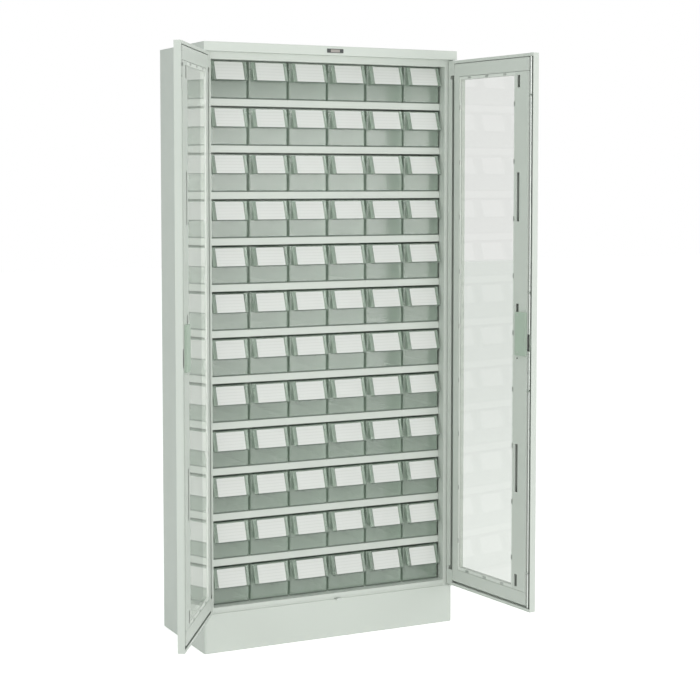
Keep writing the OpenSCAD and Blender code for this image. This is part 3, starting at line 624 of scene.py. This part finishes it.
def card_paper():
    """Paper under a thin gloss, with ruled lines at an even pitch."""
    made = bpy.data.materials.new("card_paper")
    made.use_nodes = True
    tree = made.node_tree
    shader = tree.nodes["Principled BSDF"]
    shader.inputs["Roughness"].default_value = 0.55
    shader.inputs["Coat Weight"].default_value = 0.25
    shader.inputs["Coat Roughness"].default_value = 0.12
    tier = place_group(tree, TIER_PLACE, Floor=FLOOR_Z, Pitch=TIER_PITCH, Front=BIN_FRONT)
    above = reckon(tree, "SUBTRACT", tier.outputs["Height"], HOOD_LOW + RULE_START)
    line = reckon(tree, "LESS_THAN", reckon(tree, "MODULO", above, RULE_PITCH), RULE_T)
    ink = tree.nodes.new("ShaderNodeMix")
    ink.data_type = "RGBA"
    ink.inputs["A"].default_value = (0.725, 0.732, 0.717, 1.0)
    ink.inputs["B"].default_value = (0.655, 0.667, 0.647, 1.0)
    tree.links.new(line, ink.inputs["Factor"])
    tree.links.new(ink.outputs["Result"], shader.inputs["Base Color"])
    texture = place_group(tree, FINE_GRAIN, Scale=1500.0, Depth=0.08)
    tree.links.new(texture.outputs["Normal"], shader.inputs["Normal"])
    return made


CARD_PAPER = card_paper()
print("card finish:", CARD_PAPER.name)

# %% [markdown]
# A card lies a hair in front of its hood, so that the two faces don't fight. Each row rides on the body of its
# bins: one body for a whole tier, or one for each bin of the tier whose bins slide singly.


# %% Cards on every bin
BIN_SEAT, CARD_PROUD, CARD_CORNER = 0.0002, 0.0002, 0.002


def card_row(name, tier, first_column, count, body):
    """Cards for some bins of one tier, on the body that carries them."""
    base = FLOOR_Z + (tier - 1) * TIER_PITCH + BIN_SEAT
    middle = (HOOD_LOW + HOOD_HIGH) / 2
    front = BIN_FRONT - (HOOD_REACH + HOOD_RISE) / 2
    start = ((first_column - (COLUMNS + 1) / 2) * BIN_PITCH,
             front - CARD_PROUD * math.cos(HOOD_SLANT), base + middle - CARD_PROUD * math.sin(HOOD_SLANT))
    made = run_tree(CARD_TREE, name, {
        "Count": count, "Spacing": BIN_PITCH, "Start": start, "Width": CARD_W, "Height": CARD_H,
        "Thickness": CARD_T, "Corner": CARD_CORNER, "Slant": math.pi / 2 - HOOD_SLANT, "Material": CARD_PAPER})
    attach(made, body)
    return made


for tier in range(1, TIERS + 1):
    if tier == SINGLE_TIER:
        for column in range(1, COLUMNS + 1):
            card_row("card_07_%d" % column, tier, column, 1, "bin_07_%d" % column)
    else:
        made = card_row("cards_tier_%02d" % tier, tier, 1, COLUMNS, "tier_%02d" % tier)
print("last row of cards:", len(made.data.polygons), "faces")

# %% [markdown]
# ## Screws and rivets
# Small screws hold the handle plate and the lock covers, and rivets close the rear flanges and the back panel.
# Each head is a disc that is raised and drawn in step by step and then sunk in the middle. The tree sets one head
# on every point of the mesh that it is given, so the places are plain lists, and one tree makes all of them.

# %% The fastener tree
HEAD_SIDES = 14
# Each step of a head: its rise as a share of the head's height, and the scale of its top.
HEAD_STEPS = ((0.35, 1.0), (0.40, 0.88), (0.25, 0.66), (0.0, 0.72), (-0.55, 0.8))


def fastener_tree():
    """Geometry Nodes: a stepped head with a recess on every vertex of the input."""
    tree = bpy.data.node_groups.new("fasteners", "GeometryNodeTree")
    for label, kind in (("Places", "NodeSocketGeometry"), ("Radius", "NodeSocketFloat"),
                        ("Rise", "NodeSocketFloat"), ("Facing", "NodeSocketVector"),
                        ("Material", "NodeSocketMaterial")):
        tree.interface.new_socket(label, in_out="INPUT", socket_type=kind)
    tree.interface.new_socket("Geometry", in_out="OUTPUT", socket_type="NodeSocketGeometry")
    add, join = tree.nodes.new, tree.links.new
    given, result = add("NodeGroupInput"), add("NodeGroupOutput")
    disc = add("GeometryNodeMeshCircle"); disc.fill_type = "NGON"
    disc.inputs["Vertices"].default_value = HEAD_SIDES
    join(given.outputs["Radius"], disc.inputs["Radius"])
    mesh, chosen = disc.outputs["Mesh"], None
    for rise, spread in HEAD_STEPS:
        step = add("GeometryNodeExtrudeMesh")
        step.inputs["Individual"].default_value = False
        height = add("ShaderNodeMath"); height.operation = "MULTIPLY"
        height.inputs[1].default_value = rise
        join(given.outputs["Rise"], height.inputs[0])
        join(height.outputs[0], step.inputs["Offset Scale"])
        join(mesh, step.inputs["Mesh"])
        if chosen:
            join(chosen, step.inputs["Selection"])
        draw_in = add("GeometryNodeScaleElements")
        draw_in.inputs["Scale"].default_value = spread
        join(step.outputs["Mesh"], draw_in.inputs["Geometry"])
        join(step.outputs["Top"], draw_in.inputs["Selection"])
        mesh, chosen = draw_in.outputs["Geometry"], step.outputs["Top"]
    back, both = add("GeometryNodeFlipFaces"), add("GeometryNodeJoinGeometry")
    weld = add("GeometryNodeMergeByDistance")
    weld.inputs["Distance"].default_value = WELD
    turn, copies = add("GeometryNodeTransform"), add("GeometryNodeInstanceOnPoints")
    real, paint = add("GeometryNodeRealizeInstances"), add("GeometryNodeSetMaterial")
    join(disc.outputs["Mesh"], back.inputs["Mesh"])
    join(mesh, both.inputs["Geometry"])
    join(back.outputs["Mesh"], both.inputs["Geometry"])
    join(both.outputs["Geometry"], weld.inputs["Geometry"])
    join(weld.outputs["Geometry"], turn.inputs["Geometry"])
    join(given.outputs["Facing"], turn.inputs["Rotation"])
    join(given.outputs["Places"], copies.inputs["Points"])
    join(turn.outputs["Geometry"], copies.inputs["Instance"])
    join(copies.outputs["Instances"], real.inputs["Geometry"])
    join(real.outputs["Geometry"], paint.inputs["Geometry"])
    join(given.outputs["Material"], paint.inputs["Material"])
    join(paint.outputs["Geometry"], result.inputs["Geometry"])
    return tree


FASTENER_TREE = fastener_tree()
print("fastener tree has", len(FASTENER_TREE.nodes), "nodes")

# %% [markdown]
# The doors stand open, so their screws are placed as if the door were shut and then turned about its hinge. The
# height of the lock comes from its cover. Each group of heads lies on one plane, which is named by its face.

# %% Screws and rivets in place
LOCK_Z = sum(corner.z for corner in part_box("right_lock_cover")) / 2
HINGE_X, HINGE_Y = 0.412, -0.187
DOOR_TURN = {"left_door": (-HINGE_X, math.radians(-122)), "right_door": (HINGE_X, math.radians(96))}
PLATE_SCREW, COVER_SCREW, RIVET = (0.0030, 0.0012), (0.0026, 0.0010), (0.0048, 0.0016)
PLATE_FACE, COVER_FACE, FLANGE_FACE, PANEL_FACE = -0.1985, -0.168, 0.175, 0.1738


def fasteners(name, body, places, facing, size, material):
    """Heads of one size (radius, rise) at the places, which are given for shut doors. Facing is the turn of the
    heads about X from upright, in degrees."""
    hinge_x, turn = DOOR_TURN.get(body, (0.0, 0.0))
    hinge = Vector((hinge_x, HINGE_Y, 0.0))
    swing = Matrix.Translation(hinge) @ Matrix.Rotation(turn, 4, "Z") @ Matrix.Translation(-hinge)
    made = run_tree(FASTENER_TREE, name, {
        "Radius": size[0], "Rise": size[1], "Facing": (math.radians(facing), 0.0, turn), "Material": material},
        [swing @ Vector(place) for place in places])
    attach(made, body)
    return made


def beside_lock(xs, y, reach):
    """Two places at each x, one above the lock and one as far below it."""
    return [(x, y, LOCK_Z + rise) for x in xs for rise in (-reach, reach)]


plate_places = beside_lock((0.034, 0.078), PLATE_FACE, 0.056)
right_places, left_places = (beside_lock((x,), COVER_FACE, 0.055) for x in (0.060, -0.060))
flange_places = [(side * 0.4075, FLANGE_FACE, 0.20 + 0.19 * i) for side in (-1, 1) for i in range(9)]
panel_places = [(-0.36 + 0.12 * i, PANEL_FACE, z) for z in (0.132, 1.784) for i in range(7)]
made = [
    fasteners("handle_plate_screws", "right_door", plate_places, 90, PLATE_SCREW, SATIN_CHROME),
    fasteners("right_cover_screws", "right_door", right_places, -90, COVER_SCREW, ZINC_PLATE),
    fasteners("left_cover_screws", "left_door", left_places, -90, COVER_SCREW, ZINC_PLATE),
    fasteners("flange_rivets", "cabinet", flange_places, -90, RIVET, ZINC_PLATE),
    fasteners("back_panel_rivets", "cabinet", panel_places, -90, RIVET, ZINC_PLATE)]
print("fasteners:", [(o.name, len(o.data.polygons)) for o in made])
